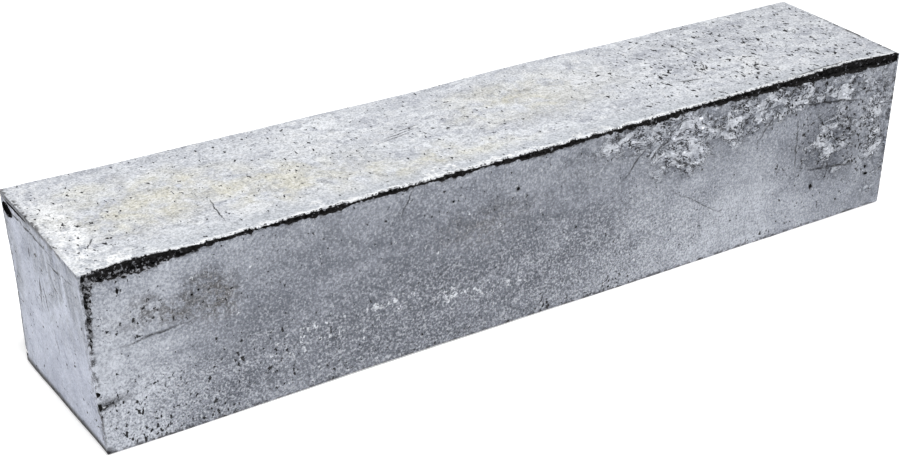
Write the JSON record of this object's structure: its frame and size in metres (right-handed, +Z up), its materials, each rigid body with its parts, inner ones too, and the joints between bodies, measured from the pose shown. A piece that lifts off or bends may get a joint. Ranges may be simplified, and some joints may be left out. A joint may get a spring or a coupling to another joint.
{
  "type": "lead ballast bar",
  "caption": "Solid cast lead ballast bar of near-square section with a rough open pour face, leaning end faces and an unfilled seam under one top edge",
  "frame": {"origin": "centre of the bounding box's bottom face, on the floor under the middle of the bar", "axes": "+X along the bar, -Y faces the side with the unfilled seam, +Z up to the open pour face"},
  "size_m": [0.386, 0.077, 0.075],
  "materials": {
    "cast_lead": "as-cast lead, dull blue-grey oxide, paler and faintly yellow on the open pour face"
  },
  "bodies": {
    "root": {"ballast_bar": "cast_lead"}
  },
  "joints": []
}
